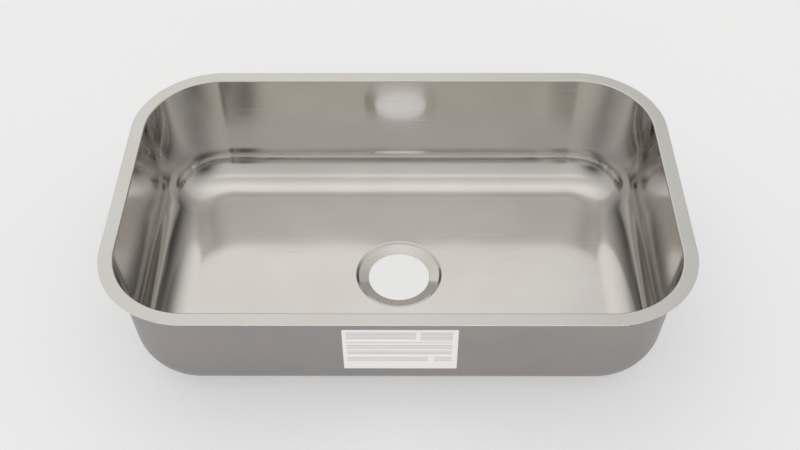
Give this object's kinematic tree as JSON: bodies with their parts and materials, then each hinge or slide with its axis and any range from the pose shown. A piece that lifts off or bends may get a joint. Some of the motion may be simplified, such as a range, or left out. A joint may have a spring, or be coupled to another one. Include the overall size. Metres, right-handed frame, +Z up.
{
  "type": "undermount kitchen sink",
  "caption": "Rectangular drawn steel sink bowl with rounded corners, a flat flange for fixing under a worktop, a floor that falls to a recessed waste outlet, and sound pads underneath.",
  "frame": {"origin": "on the outlet's axis, at the lowest point of the bowl, which is the underside of the outlet's edge", "axes": "+X to the right along the length, +Y to the back of the worktop, +Z up out of the bowl; the label is on the front wall"},
  "size_m": [0.76, 0.474, 0.1906],
  "materials": {
    "steel": "polished inside, satin flange and outside",
    "sound_pad": "matt studded rubber",
    "label_film": "matt white film with plain ruled lines"
  },
  "bodies": {
    "root": {"sink_bowl": "steel", "sound_pad_left": "sound_pad", "sound_pad_right": "sound_pad", "front_label": "label_film"}
  },
  "joints": []
}
